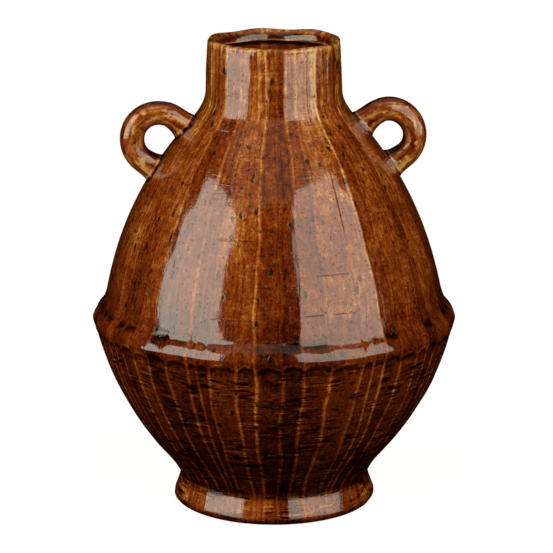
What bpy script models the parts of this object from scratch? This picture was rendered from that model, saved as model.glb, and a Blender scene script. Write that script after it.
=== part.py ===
"""Stoneware vase with two ring handles, built up from nine pieces of clay.

Every turned piece shares one axis (+Z) and the origin is the centre of the foot, on the table.
Pieces meet in lap joints, rebates and shallow seats, with a thin film of luting slip between them.
Lengths are in metres and angles in degrees.
"""
import math

import bmesh
import bpy

# ---------------------------------------------------------------- driving dimensions
HEIGHT = 0.300              # table to rim
BELLY_RADIUS = 0.1143       # outside of the seam coil, the widest place
BELLY_LEVEL = 0.1225        # level of the seam between the bowl and the shoulder
NECK_RADIUS = 0.0430        # outside of the neck
RIM_RADIUS = 0.0420         # outside of the lip at the rim
NECK_LENGTH = 0.0440        # from the rim down to the seam between neck and shoulder
NECK_STRAIGHT = 0.0340      # length of the neck below the rim that stays upright
NECK_FLARE = 0.0037         # how far the neck widens from there down to the seam
NECK_SWEEP = 0.0130         # height of the short slope from the neck seam out to the shoulder
SHOULDER_BREAK = 0.0105     # how much wider the shoulder is at the foot of that slope
SHOULDER_BOW = 0.0075       # rise of the shoulder's arc over its chord
BOWL_BOW = 0.0056           # rise of the bowl's arc over its chord
WALL = 0.0062               # wall of the body and the neck
WALL_AT_TURN = 0.0010       # extra thickness where a wall turns a corner

FOOT_RADIUS = 0.0648        # widest place of the foot ring
FOOT_BULGE_LEVEL = 0.0050   # level of that place
FOOT_REST_RADIUS = 0.0580   # outer edge of the flat resting band
FOOT_REST_WIDTH = 0.0050    # width of that band
WAIST_RADIUS = 0.0600       # crease between the foot ring and the bowl
WAIST_LEVEL = 0.0195
BOWL_SWEEP = 0.0160         # height of the hollow curve from the crease up to the bowl
BOWL_SPREAD = 0.0110        # how much wider the bowl is at the top of that curve
FLOOR_THICKNESS = 0.0070    # clay slab that closes the bottom
FLOOR_LEDGE = 0.0040        # width of the ledge that carries the slab
RECESS_DEPTH = 0.0095       # hollow under the slab

COIL_RISE = 0.0065          # seam coil above its seam
COIL_FALL = 0.0065          # seam coil below its seam
COIL_SEAT = 0.0028          # depth of the groove that the coil is pressed into
COIL_STAND = 0.0030         # how far the coil's crest stands out over the shoulder and the bowl
COIL_FLARE = 0.0100         # height over which the shoulder sweeps out to the coil

LIP_DEPTH = 0.0075          # height of the lip coil
LIP_OVERHANG = 0.0014       # how far the lip coil stands in past the neck's inner wall
LIP_ROUND = 0.0022          # rounding of the rim

HANDLE_THICKNESS = 0.0152   # diameter of the rolled handle coil
HANDLE_HOLE = 0.0186        # diameter of the finger loop
HANDLE_TOP_ANGLE = 124.0    # where the loop's round part starts, above the horizontal
HANDLE_TAIL_ANGLE = -50.0   # where it runs out into the straight tail
HANDLE_SEAT = 0.0020        # depth of the scored seat in the shoulder
HANDLE_DROP = 0.0190        # finger loop's centre below the neck seam
HANDLE_STANDOFF = 0.0106    # and out from the shoulder's face at that level

SLIP = 0.0003               # film of luting slip in every joint
LAP = 0.0030                # height of the tongue in a lap joint
SIDES = 48                  # facets of every turned piece
ARC_STEPS = 8               # steps along each arc of an outline
MERGE = 0.00001


# ---------------------------------------------------------------- derived places
NECK_SEAM = HEIGHT - NECK_LENGTH
LIP_SEAM = HEIGHT - LIP_DEPTH
SEAM_RADIUS = NECK_RADIUS + NECK_FLARE
SHOULDER_TOP = (SEAM_RADIUS + SHOULDER_BREAK, NECK_SEAM - NECK_SWEEP)
COIL_TOP = BELLY_LEVEL + COIL_RISE
COIL_FOOT = BELLY_LEVEL - COIL_FALL
SHOULDER_FOOT = (BELLY_RADIUS - 2.6 * COIL_STAND, COIL_TOP + COIL_FLARE)
COIL_TOP_RADIUS = BELLY_RADIUS - COIL_STAND
COIL_FOOT_RADIUS = BELLY_RADIUS - COIL_STAND / 3
GROOVE_RADIUS = COIL_TOP_RADIUS - COIL_SEAT
BOWL_FOOT = (WAIST_RADIUS + BOWL_SPREAD, WAIST_LEVEL + BOWL_SWEEP)
SLAB_RADIUS = FOOT_REST_RADIUS - FOOT_REST_WIDTH + FLOOR_LEDGE / 2
LOOP_RADIUS = (HANDLE_HOLE + HANDLE_THICKNESS) / 2


# ---------------------------------------------------------------- outlines
def bowed(start, end, rise, steps=ARC_STEPS):
    """Points of the arc from start to end whose middle stands off the chord by rise."""
    (r0, z0), (r1, z1) = start, end
    chord = math.hypot(r1 - r0, z1 - z0)
    normal = ((z0 - z1) / chord, (r1 - r0) / chord)
    radius = (chord * chord / 4 + rise * rise) / (2 * abs(rise))
    half = math.asin(chord / 2 / radius)
    side = math.copysign(1.0, rise)
    points = []
    for step in range(steps + 1):
        angle = half * (2 * step / steps - 1)
        along = radius * math.sin(angle) + chord / 2
        out = side * (radius * math.cos(angle) - radius * math.cos(half))
        points.append((r0 + (r1 - r0) * along / chord + normal[0] * out,
                       z0 + (z1 - z0) * along / chord + normal[1] * out))
    return points


def quarter(start, end, steps=4, flat_first=True):
    """Points of a quarter ellipse from start to end, leaving start along the level direction."""
    (r0, z0), (r1, z1) = start, end
    points = []
    for step in range(steps + 1):
        turn = math.radians(90 * step / steps)
        a, b = math.sin(turn), 1 - math.cos(turn)
        if not flat_first:
            a, b = b, a
        points.append((r0 + (r1 - r0) * a, z0 + (z1 - z0) * b))
    return points


def offset_in(outline, distance):
    """The same outline moved towards the hollow side by distance."""
    moved = []
    for index, (r, z) in enumerate(outline):
        before = outline[max(index - 1, 0)]
        after = outline[min(index + 1, len(outline) - 1)]
        length = math.hypot(after[0] - before[0], after[1] - before[1])
        moved.append((r - distance * (before[1] - after[1]) / length,
                      z - distance * (after[0] - before[0]) / length))
    return moved


def clip(outline, top, foot):
    """The part of a falling outline between two levels, with its ends exactly on them."""
    def at(level):
        for (r0, z0), (r1, z1) in zip(outline, outline[1:]):
            if z1 <= level <= z0:
                return (r0 + (r1 - r0) * (z0 - level) / (z0 - z1), level)
        end = outline[0] if level > outline[0][1] else outline[-1]
        return (end[0], level)
    inner = [p for p in outline if foot + MERGE < p[1] < top - MERGE]
    return [at(top)] + inner + [at(foot)]


def radius_at(outline, level):
    """Radius of a falling outline at one level."""
    return clip(outline, level, level - 2 * MERGE)[0][0]


NECK_LINE = bowed((RIM_RADIUS, HEIGHT), (NECK_RADIUS, HEIGHT - NECK_STRAIGHT), 0.0002, 3)
NECK_LINE += bowed(NECK_LINE[-1], (SEAM_RADIUS, NECK_SEAM), -0.0006, 4)[1:]
SHOULDER_LINE = bowed((SEAM_RADIUS, NECK_SEAM), SHOULDER_TOP, -0.0004, 3)
SHOULDER_LINE += bowed(SHOULDER_TOP, SHOULDER_FOOT, SHOULDER_BOW)[1:]
SHOULDER_LINE += bowed(SHOULDER_FOOT, (COIL_TOP_RADIUS, COIL_TOP), -0.0006, 3)[1:]
BOWL_LINE = bowed((COIL_FOOT_RADIUS, COIL_FOOT), BOWL_FOOT, BOWL_BOW)
BOWL_LINE += bowed(BOWL_FOOT, (WAIST_RADIUS, WAIST_LEVEL), -0.0006, 4)[1:]
BODY_LINE = NECK_LINE + SHOULDER_LINE[1:] + BOWL_LINE


# ---------------------------------------------------------------- scene and materials
def clear_scene():
    """Take every object and every mesh left from before out of the file."""
    for old in list(bpy.data.objects):
        bpy.data.objects.remove(old, do_unlink=True)


def new_collection(name):
    """A collection linked to the scene."""
    collection = bpy.data.collections.new(name)
    bpy.context.scene.collection.children.link(collection)
    return collection


def glaze(name, colour, roughness):
    """Glassy glaze over stoneware in one colour."""
    material = bpy.data.materials.new(name)
    material.use_nodes = True
    shader = material.node_tree.nodes["Principled BSDF"]
    shader.inputs["Base Color"].default_value = (*colour, 1.0)
    shader.inputs["Roughness"].default_value = roughness
    shader.inputs["Metallic"].default_value = 0.0
    material.diffuse_color = (*colour, 1.0)
    return material


# ---------------------------------------------------------------- making solids
def turned(name, outline, collection, material=None, closed=True):
    """Turn an outline of (radius, level) points, outer side first and falling, about +Z."""
    mesh = bpy.data.meshes.new(name)
    points = [(r, 0.0, z) for r, z in outline]
    edges = [(i, i + 1) for i in range(len(points) - 1)]
    if closed:
        edges.append((len(points) - 1, 0))
    mesh.from_pydata(points, edges, [])
    piece = bpy.data.objects.new(name, mesh)
    collection.objects.link(piece)
    screw = piece.modifiers.new("turning", "SCREW")
    screw.axis = "Z"
    screw.angle = math.tau
    screw.steps = SIDES
    screw.render_steps = SIDES
    screw.use_merge_vertices = True
    screw.merge_threshold = MERGE
    screw.use_smooth_shade = True
    if material:
        mesh.materials.append(material)
    return piece


def solid_inside(name, outline, collection):
    """Solid of revolution that fills everything inside an outline, for cutting."""
    filled = [(0.0, outline[0][1])] + outline + [(0.0, outline[-1][1])]
    return as_cutter(turned(name, filled, collection, closed=False))


def as_cutter(piece):
    """Mark a piece as a cutting body."""
    piece.hide_render = True
    piece.display_type = "WIRE"
    return piece


def frozen(piece, name, collection):
    """A plain mesh object made from a piece as it stands, in place of that piece."""
    bpy.context.view_layer.update()
    evaluated = piece.evaluated_get(bpy.context.evaluated_depsgraph_get())
    mesh = bpy.data.meshes.new_from_object(evaluated)
    whole = bmesh.new()
    whole.from_mesh(mesh)
    bmesh.ops.remove_doubles(whole, verts=whole.verts, dist=MERGE)
    whole.to_mesh(mesh)
    whole.free()
    result = bpy.data.objects.new(name, mesh)
    result.matrix_world = piece.matrix_world
    bpy.data.objects.remove(piece, do_unlink=True)
    result.name = name
    mesh.name = name
    collection.objects.link(result)
    return result


def coil(name, path, thickness, collection):
    """Rolled coil of clay along a path of (x, y, z) points, with closed ends."""
    curve = bpy.data.curves.new(name, "CURVE")
    curve.dimensions = "3D"
    curve.bevel_depth = thickness / 2
    curve.bevel_resolution = 4
    curve.use_fill_caps = True
    spline = curve.splines.new("POLY")
    spline.points.add(len(path) - 1)
    for point, place in zip(spline.points, path):
        point.co = (*place, 1.0)
    strand = bpy.data.objects.new(name + "_strand", curve)
    collection.objects.link(strand)
    return frozen(strand, name, collection)


def cut(piece, cutter):
    """Take a cutter away from a piece."""
    boolean = piece.modifiers.new("cut_" + cutter.name, "BOOLEAN")
    boolean.operation = "DIFFERENCE"
    boolean.solver = "EXACT"
    boolean.object = cutter


# ---------------------------------------------------------------- the joints
def tongue(radius_out, radius_in, level):
    """Top edge of a lower piece: an upstanding inner tongue, listed from the inside out."""
    middle = (radius_out + radius_in) / 2 - SLIP / 2
    return [(radius_in, level + LAP - SLIP / 2), (middle, level + LAP - SLIP / 2),
            (middle, level - SLIP / 2), (radius_out, level - SLIP / 2)]


def rebate(radius_out, radius_in, level):
    """Bottom edge of an upper piece: the rebate over that tongue, from the outside in."""
    middle = (radius_out + radius_in) / 2 + SLIP / 2
    return [(radius_out, level + SLIP / 2), (middle, level + SLIP / 2),
            (middle, level + LAP + SLIP / 2), (radius_in, level + LAP + SLIP / 2)]


# ---------------------------------------------------------------- the pieces
def make_foot_ring(collection):
    """Turned ring that the vase stands on, with a ledge for the floor and a tongue on top."""
    rest_inner = FOOT_REST_RADIUS - FOOT_REST_WIDTH
    slab_edge = SLAB_RADIUS + SLIP
    inner = slab_edge - FLOOR_LEDGE
    outer = bowed((WAIST_RADIUS, WAIST_LEVEL - SLIP / 2), (FOOT_RADIUS, FOOT_BULGE_LEVEL), -0.0006, 4)
    outer += quarter((FOOT_RADIUS, FOOT_BULGE_LEVEL), (FOOT_REST_RADIUS, 0.0), 5, flat_first=False)[1:]
    underside = [(rest_inner, 0.0), (inner, RECESS_DEPTH / 3), (inner, RECESS_DEPTH),
                 (slab_edge, RECESS_DEPTH)]
    outline = outer + underside + tongue(WAIST_RADIUS, slab_edge, WAIST_LEVEL)[:-1]
    return turned("foot_ring", outline, collection, glaze("foot_glaze", (0.060, 0.014, 0.002), 0.18))


def make_floor_disc(collection):
    """Flat slab that closes the bottom, laid on the foot ring's ledge."""
    low = RECESS_DEPTH + SLIP
    high = low + FLOOR_THICKNESS
    edge = 0.0010
    outline = [(0.0, high), (SLAB_RADIUS - edge, high), (SLAB_RADIUS, high - edge),
               (SLAB_RADIUS, low), (0.0, low)]
    return turned("floor_disc", outline, collection,
                  glaze("floor_glaze", (0.050, 0.014, 0.003), 0.25), closed=False)


def make_lower_bowl(collection):
    """Bowl from the foot ring up to the belly seam, with half of the coil's groove."""
    outer = clip(BOWL_LINE, COIL_FOOT - SLIP, WAIST_LEVEL + SLIP / 2)
    inner_line = offset_in(BOWL_LINE, WALL + WALL_AT_TURN / 2)
    inner_top = GROOVE_RADIUS - WALL
    inner_foot = SLAB_RADIUS + SLIP
    inner = [p for p in clip(inner_line, COIL_FOOT, WAIST_LEVEL + 2 * LAP) if p[0] < inner_top]
    outline = [(GROOVE_RADIUS, COIL_FOOT - SLIP)] + outer
    outline += rebate(WAIST_RADIUS, inner_foot, WAIST_LEVEL)[1:] + inner[::-1]
    outline += tongue(GROOVE_RADIUS, inner_top, BELLY_LEVEL)
    return turned("lower_bowl", outline, collection, glaze("bowl_glaze", (0.150, 0.030, 0.003), 0.12))


def make_belly_coil(collection):
    """Coil pressed over the seam at the widest place, seated in the groove of both halves."""
    inner = GROOVE_RADIUS + SLIP
    crest = (BELLY_RADIUS, BELLY_LEVEL)
    outer = bowed((COIL_TOP_RADIUS, COIL_TOP), crest, 0.0004, 4)
    outer += bowed(crest, (COIL_FOOT_RADIUS, COIL_FOOT), 0.0004, 4)[1:]
    outline = outer + [(inner, COIL_FOOT), (inner, COIL_TOP)]
    return turned("belly_coil", outline, collection, glaze("coil_glaze", (0.110, 0.022, 0.002), 0.12))


def make_shoulder_dome(collection, seat_cutters):
    """Dome from the belly seam up to the neck, with a scored seat for each handle root."""
    outer = clip(SHOULDER_LINE, NECK_SEAM - SLIP / 2, COIL_TOP + SLIP)
    inner_line = offset_in(SHOULDER_LINE, WALL)
    inner_foot = GROOVE_RADIUS - WALL
    inner_neck = SEAM_RADIUS - WALL - WALL_AT_TURN
    inner = [p for p in inner_line[1:] if inner_neck < p[0] < inner_foot and p[1] > COIL_TOP]
    outline = outer + [(GROOVE_RADIUS, COIL_TOP + SLIP)]
    outline += rebate(GROOVE_RADIUS, inner_foot, BELLY_LEVEL) + inner[::-1]
    outline += tongue(SEAM_RADIUS, inner_neck, NECK_SEAM)[:-1]
    dome = turned("shoulder_dome", outline, collection, glaze("dome_glaze", (0.220, 0.050, 0.005), 0.12))
    for cutter in seat_cutters:
        cut(dome, cutter)
    return dome


def make_neck_collar(collection):
    """Short upright neck, lapped over the dome's tongue."""
    outer = clip(NECK_LINE, LIP_SEAM - SLIP / 2, NECK_SEAM + SLIP / 2)
    inner_seam = SEAM_RADIUS - WALL - WALL_AT_TURN
    inner_wall = NECK_RADIUS - WALL
    lip_out = outer[0][0]
    outline = outer + rebate(SEAM_RADIUS, inner_seam, NECK_SEAM)[1:]
    outline += bowed(outline[-1], (inner_wall, HEIGHT - NECK_STRAIGHT), 0.0004, 3)[1:]
    outline += tongue(lip_out, inner_wall, LIP_SEAM)[:-1]
    return turned("neck_collar", outline, collection, glaze("neck_glaze", (0.220, 0.050, 0.005), 0.12))


def make_lip_coil(collection):
    """Thick rounded coil round the mouth, standing in a little past the neck's wall."""
    outer = clip(NECK_LINE, HEIGHT - LIP_ROUND, LIP_SEAM + SLIP / 2)
    inner = NECK_RADIUS - WALL - LIP_OVERHANG
    crown = [(inner, HEIGHT - LIP_ROUND)]
    crown += quarter((inner, HEIGHT - LIP_ROUND), (inner + LIP_ROUND, HEIGHT), 3, flat_first=False)[1:]
    crown += quarter((RIM_RADIUS - LIP_ROUND, HEIGHT), outer[0], 3)
    outline = outer + rebate(outer[-1][0], NECK_RADIUS - WALL, LIP_SEAM)[1:-1]
    outline += [(inner, LIP_SEAM + LAP + SLIP / 2)] + crown[:-1]
    return turned("lip_coil", outline, collection, glaze("lip_glaze", (0.300, 0.090, 0.012), 0.12))


def buried_end(point, direction):
    """Where a straight coil from point has its whole cut end inside the body's face."""
    r, z = point
    step = HANDLE_THICKNESS / 8
    while radius_at(BODY_LINE, z) - r < HANDLE_THICKNESS + HANDLE_SEAT:
        r, z = r + direction[0] * step, z + direction[1] * step
    return r, z


def handle_path(side):
    """Centre line of one ring handle: out of the shoulder, round the loop and back down."""
    level = NECK_SEAM - HANDLE_DROP
    centre = radius_at(SHOULDER_LINE, level) + HANDLE_STANDOFF
    top, tail = math.radians(HANDLE_TOP_ANGLE), math.radians(HANDLE_TAIL_ANGLE)
    steps = 14
    loop = []
    for step in range(steps + 1):
        angle = top + (tail - top) * step / steps
        loop.append((centre + LOOP_RADIUS * math.cos(angle), level + LOOP_RADIUS * math.sin(angle)))
    start = buried_end(loop[0], (-math.sin(top), math.cos(top)))
    end = buried_end(loop[-1], (math.sin(tail), -math.cos(tail)))
    return [(side * x, 0.0, z) for x, z in [start] + loop + [end]]


def make_handle(name, side, collection, cutters):
    """One ring handle cut to the shoulder's face, and the cutter for its scored seat."""
    path = handle_path(side)
    handle = coil(name, path, HANDLE_THICKNESS, collection)
    handle.data.materials.append(glaze(name + "_glaze", (0.240, 0.062, 0.007), 0.12))
    bed = solid_inside(name + "_bed", offset_in(BODY_LINE, HANDLE_SEAT), cutters)
    cut(handle, bed)
    seat = as_cutter(coil(name + "_seat", path, HANDLE_THICKNESS + 2 * SLIP, cutters))
    floor = solid_inside(name + "_floor", offset_in(BODY_LINE, HANDLE_SEAT + SLIP), cutters)
    cut(seat, floor)
    for polygon in handle.data.polygons:
        polygon.use_smooth = True
    return handle, seat


# ---------------------------------------------------------------- assembly
def build():
    """Make the nine pieces, side by side in one collection under one empty."""
    clear_scene()
    vase = new_collection("stoneware_vase")
    cutters = new_collection("cutters")
    left, left_seat = make_handle("handle_left", -1, vase, cutters)
    right, right_seat = make_handle("handle_right", 1, vase, cutters)
    pieces = [make_foot_ring(vase), make_floor_disc(vase), make_lower_bowl(vase),
              make_belly_coil(vase), make_shoulder_dome(vase, [left_seat, right_seat]),
              make_neck_collar(vase), make_lip_coil(vase), left, right]
    centre = bpy.data.objects.new("vase_centre", None)
    vase.objects.link(centre)
    for piece in pieces:
        piece.parent = centre


build()
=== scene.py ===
# %% [markdown]
# # A stoneware vase with ring handles
# The vase is built as a potter builds it: a turned foot ring with a floor slab in it, a bowl, a coil
# pressed over the belly seam, a shoulder, a neck, a lip coil and two rolled handles. The CAD frame
# already holds those nine solids. Each cell below makes the finished clay surface of one of them.

# %% The frame and its box
import math

import bmesh
import bpy
import numpy as np
from mathutils import Matrix, Vector


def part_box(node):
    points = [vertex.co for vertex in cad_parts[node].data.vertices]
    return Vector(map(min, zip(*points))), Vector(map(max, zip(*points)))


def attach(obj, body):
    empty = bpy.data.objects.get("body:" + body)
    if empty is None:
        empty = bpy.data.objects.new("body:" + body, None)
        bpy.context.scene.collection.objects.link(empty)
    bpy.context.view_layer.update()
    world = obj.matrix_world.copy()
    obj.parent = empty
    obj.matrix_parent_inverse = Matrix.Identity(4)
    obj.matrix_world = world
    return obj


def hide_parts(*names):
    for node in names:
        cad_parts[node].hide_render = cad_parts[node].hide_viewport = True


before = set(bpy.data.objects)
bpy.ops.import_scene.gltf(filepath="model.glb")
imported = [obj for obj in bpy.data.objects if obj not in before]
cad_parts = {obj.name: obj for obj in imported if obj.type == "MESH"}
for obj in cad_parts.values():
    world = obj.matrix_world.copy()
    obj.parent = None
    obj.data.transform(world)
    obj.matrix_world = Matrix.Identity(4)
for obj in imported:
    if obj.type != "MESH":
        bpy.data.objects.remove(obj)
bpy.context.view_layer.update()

print("nodes:", sorted(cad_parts))

# %% [markdown]
# ## Sizes
# Levels and radii come from the boxes of the CAD nodes, so the finish follows the clay if the clay
# changes. Only the curves between those places have values of their own: how far the shoulder and
# the bowl bow out, and how the short sweeps run.

# %% Levels and radii
_, FOOT_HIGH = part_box("foot_ring")
COIL_LOW, COIL_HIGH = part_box("belly_coil")
NECK_LOW, NECK_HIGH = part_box("neck_collar")
LIP_LOW, LIP_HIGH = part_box("lip_coil")
FLOOR_LOW, FLOOR_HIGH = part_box("floor_disc")

SLIP = 0.0003                       # film of slip in each joint of the frame
RIM = LIP_HIGH.z
LIP_SEAM = LIP_LOW.z - SLIP / 2
NECK_SEAM = NECK_LOW.z - SLIP / 2
SEAM_RADIUS = NECK_HIGH.x
BELLY_RADIUS = COIL_HIGH.x
COIL_TOP, COIL_FOOT = COIL_HIGH.z, COIL_LOW.z
BELLY_LEVEL = (COIL_TOP + COIL_FOOT) / 2
FOOT_RADIUS = FOOT_HIGH.x
WALL = 0.0062
print("rim", round(RIM, 4), "neck seam", round(NECK_SEAM, 4), "belly", round(BELLY_RADIUS, 4))

# %% Curves between them
RIM_RADIUS = 0.0420
NECK_RADIUS = 0.0430
NECK_BEND = (NECK_RADIUS, RIM - 0.034)
SHOULDER_TOP = (SEAM_RADIUS + 0.0105, NECK_SEAM - 0.013)
SHOULDER_FOOT = (BELLY_RADIUS - 0.0078, COIL_TOP + 0.010)
SHOULDER_BOW = 0.0075
BOWL_BOW = 0.0056
WAIST = (0.0600, 0.0195)
BOWL_FOOT = (0.0710, 0.0355)
FOOT_BULGE_LEVEL = 0.0050
REST_RADIUS = 0.0580
REST_WIDTH = 0.0050
FOOT_SEAM = WAIST[1] + 0.0026       # where the bowl sits on the foot ring
ROW = 0.0014                        # spacing of the rows of faces up the wall
COARSE_ROW = 0.0045                 # the same inside, where nobody looks closely


def bowed(start, end, rise, steps=24):
    """Points of the arc from start to end whose middle stands off the chord by rise."""
    (r0, z0), (r1, z1) = start, end
    chord = math.hypot(r1 - r0, z1 - z0)
    normal = ((z0 - z1) / chord, (r1 - r0) / chord)
    radius = (chord * chord / 4 + rise * rise) / (2 * abs(rise))
    half = math.asin(chord / 2 / radius)
    side = math.copysign(1.0, rise)
    points = []
    for step in range(steps + 1):
        angle = half * (2 * step / steps - 1)
        along = (radius * math.sin(angle) + chord / 2) / chord
        out = side * radius * (math.cos(angle) - math.cos(half))
        points.append((r0 + (r1 - r0) * along + normal[0] * out,
                       z0 + (z1 - z0) * along + normal[1] * out))
    return points


def rounded(start, end, steps=8):
    """Quarter ellipse from an upright start to a level end."""
    (r0, z0), (r1, z1) = start, end
    turns = [math.radians(90 * step / steps) for step in range(steps + 1)]
    return [(r0 + (r1 - r0) * (1 - math.cos(t)), z0 + (z1 - z0) * math.sin(t)) for t in turns]


# %% The outer line, from the rim down to the table
LIP_ROUND = 0.0026
COIL_SHOULDER = (BELLY_RADIUS - 0.0030, COIL_TOP)
COIL_CREST = (BELLY_RADIUS, BELLY_LEVEL)
COIL_UNDER = (BELLY_RADIUS - 0.0010, COIL_FOOT)

outer_line = [(RIM_RADIUS, RIM - LIP_ROUND)]
for end, rise in ((NECK_BEND, 0.0002), ((SEAM_RADIUS, NECK_SEAM), -0.0006), (SHOULDER_TOP, -0.0004),
                  (SHOULDER_FOOT, SHOULDER_BOW), (COIL_SHOULDER, -0.0006), (COIL_CREST, 0.0005),
                  (COIL_UNDER, 0.0005), (BOWL_FOOT, BOWL_BOW), (WAIST, -0.0006),
                  ((FOOT_RADIUS, FOOT_BULGE_LEVEL), -0.0006)):
    outer_line += bowed(outer_line[-1], end, rise)[1:]
outer_line += rounded(outer_line[-1], (REST_RADIUS, 0.0))[1:]


def evened(line, spacing):
    """The same line with its points at one spacing, and both ends kept."""
    points = np.array(line)
    run = np.concatenate([[0], np.cumsum(np.hypot(*np.diff(points, axis=0).T))])
    places = np.linspace(0, run[-1], max(2, round(run[-1] / spacing)) + 1)
    return list(zip(np.interp(places, run, points[:, 0]), np.interp(places, run, points[:, 1])))


def eased(line, passes):
    """The same line with its corners softened, and both ends kept."""
    points = np.array(line)
    for _ in range(passes):
        points[1:-1] = (points[:-2] + 2 * points[1:-1] + points[2:]) / 4
    return [tuple(p) for p in points]


def between(line, top, foot):
    """The part of a falling line between two levels, with its ends exactly on them."""
    points = np.array(line)[::-1]
    inside = [(r, z) for r, z in line if foot + ROW / 4 < z < top - ROW / 4]
    ends = [(float(np.interp(level, points[:, 1], points[:, 0])), level) for level in (top, foot)]
    return [ends[0]] + inside + [ends[1]]


outer_line = eased(evened(outer_line, ROW / 2), 8)
OUTER = evened(outer_line, ROW)
OUTER_POINTS = np.array(outer_line)[::-1]


def wall_radius(level):
    """Radius of the outside at a level."""
    return np.interp(level, OUTER_POINTS[:, 1], OUTER_POINTS[:, 0])


print("rows up the wall:", len(OUTER))

# %% [markdown]
# ## The ribs
# The potter draws a toothed tool down the wet wall, which raises thin upright ribs with flat panels
# between them. No two panels are equally wide and no rib is quite straight. If the faces ran in even
# columns, a rib would wander between two columns and look like a saw. So the columns are set out from
# the ribs instead: every panel gets the same number of columns, and a rib always runs along one.

# %% Where the ribs stand
COLUMNS_PER_PANEL = 11
FRONT_RIBS = (199.5, 208.5, 221.5, 236.5, 243.5, 258.5, 273.5, 292.5, 301.5, 316.5, 326.5, 338.5)
BACK_ANGLE = 90.0

chance = np.random.RandomState(7)


def uneven(start, end, count):
    """Angles that split an arc into a number of panels of uneven width, without its two ends."""
    widths = 1 + 0.75 * (chance.rand(count) - 0.5)
    return list(start + (end - start) * np.cumsum(widths)[:-1] / widths.sum())


left_back = uneven(BACK_ANGLE, FRONT_RIBS[0], 10)
right_back = uneven(FRONT_RIBS[-1], BACK_ANGLE + 360, 11)
main_ribs = np.radians([BACK_ANGLE, *left_back, *FRONT_RIBS, *right_back, BACK_ANGLE + 360])
split = 0.36 + 0.28 * chance.rand(len(main_ribs) - 1)
minor_ribs = main_ribs[:-1] + split * np.diff(main_ribs)
rib_angles = np.sort(np.concatenate([main_ribs, minor_ribs]))
panel_widths = np.diff(rib_angles)
RIBS = len(panel_widths)
COLUMNS = RIBS * COLUMNS_PER_PANEL
print("ribs:", RIBS, "columns:", COLUMNS,
      "panels from", round(math.degrees(panel_widths.min()), 1),
      "to", round(math.degrees(panel_widths.max()), 1), "degrees")

# %% How each rib wanders on its way down
wander_size = np.radians(0.25 + 0.55 * chance.rand(RIBS))
wander_pace = 1 / (0.05 + 0.09 * chance.rand(RIBS))
wander_start = math.tau * chance.rand(RIBS)


def rib_wander(rib, level):
    """Sideways drift of a rib at a level, as an angle."""
    rib = rib % RIBS
    turn = level * wander_pace[rib] * math.tau
    slow = np.sin(turn + wander_start[rib])
    quick = np.sin(2.7 * turn + 2 * wander_start[rib])
    return wander_size[rib] * (0.8 * slow + 0.3 * quick)


def column_angle(place, level):
    """Angle of a place counted in ribs round the pot, at a level."""
    rib = np.floor(place).astype(int)
    part = place - rib
    drift = (1 - part) * rib_wander(rib, level) + part * rib_wander(rib + 1, level)
    return np.interp(place, np.arange(RIBS + 1), rib_angles) + drift


# %% [markdown]
# ## The hand of the potter
# Real hand-built walls swell and sink by a few tenths of a millimetre over a few centimetres, and the
# gloss of the glaze shows every bit of it. A sum of a few waves round and up the pot does this well:
# it closes on itself without a seam, and it costs almost nothing.

# %% Swells and ripples
def ripple(angle, level, seed, rounds, pace, waves=7):
    """Smooth unevenness between about -1 and 1 that closes on itself round the pot."""
    draw = np.random.RandomState(seed)
    total = np.zeros(np.broadcast(angle, level).shape)
    for _ in range(waves):
        count = draw.randint(rounds[0], rounds[1] + 1)
        rise = pace * (0.4 + draw.rand()) * draw.choice((-1, 1))
        total = total + np.sin(count * angle + rise * level * math.tau + math.tau * draw.rand())
    return total / math.sqrt(waves)


def ramp(value, start, end):
    """Smooth step from 0 at start to 1 at end."""
    part = np.clip((value - start) / (end - start), 0, 1)
    return part * part * (3 - 2 * part)


def bell(value, middle, width):
    """Smooth hump of height 1 round the middle."""
    return np.exp(-((value - middle) / width) ** 2)


# %% The ledges in the panels
LEDGES_PER_PANEL = 7
LEDGE_EDGE = 0.0007
ledge_levels = 0.02 + 0.27 * chance.rand(RIBS // 2, LEDGES_PER_PANEL)
ledge_heights = 0.00009 * chance.randn(RIBS // 2, LEDGES_PER_PANEL)
rib_strength = 0.35 + 0.65 * chance.rand(RIBS)


def panel_steps(panel, level):
    """Height of a panel's face at a level, stepped where the tool stopped and started again."""
    total = np.zeros(level.shape)
    for ledge in range(LEDGES_PER_PANEL):
        over = (level - ledge_levels[panel, ledge]) / LEDGE_EDGE
        total += ledge_heights[panel, ledge] * np.tanh(over) / 2
    return total


# %% All the relief on the outside
RIB_HALF_WIDTH = 0.00110
FLUTE_TOP = COIL_FOOT + 0.0026
FLUTE_ARCH = 0.0030
POOL_LEVEL = COIL_TOP + 0.0010
RIB_HEIGHT, NECK_RIB_EXTRA, BOWL_RIB_EXTRA = 0.00012, 0.00010, 0.00028
FLUTE_DEPTH = 0.00034
POOL_DEPTH = 0.00040
flute_starts = 0.0026 * (chance.rand(RIBS) - 0.5)


def fluted(level, panel, part):
    """1 on the bowl, where the tool cut flutes with round tops, and 0 above them."""
    top = FLUTE_TOP + flute_starts[panel] - FLUTE_ARCH * (2 * part - 1) ** 2
    return 1 - ramp(level, top - 0.0022, top + 0.0006)


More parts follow.
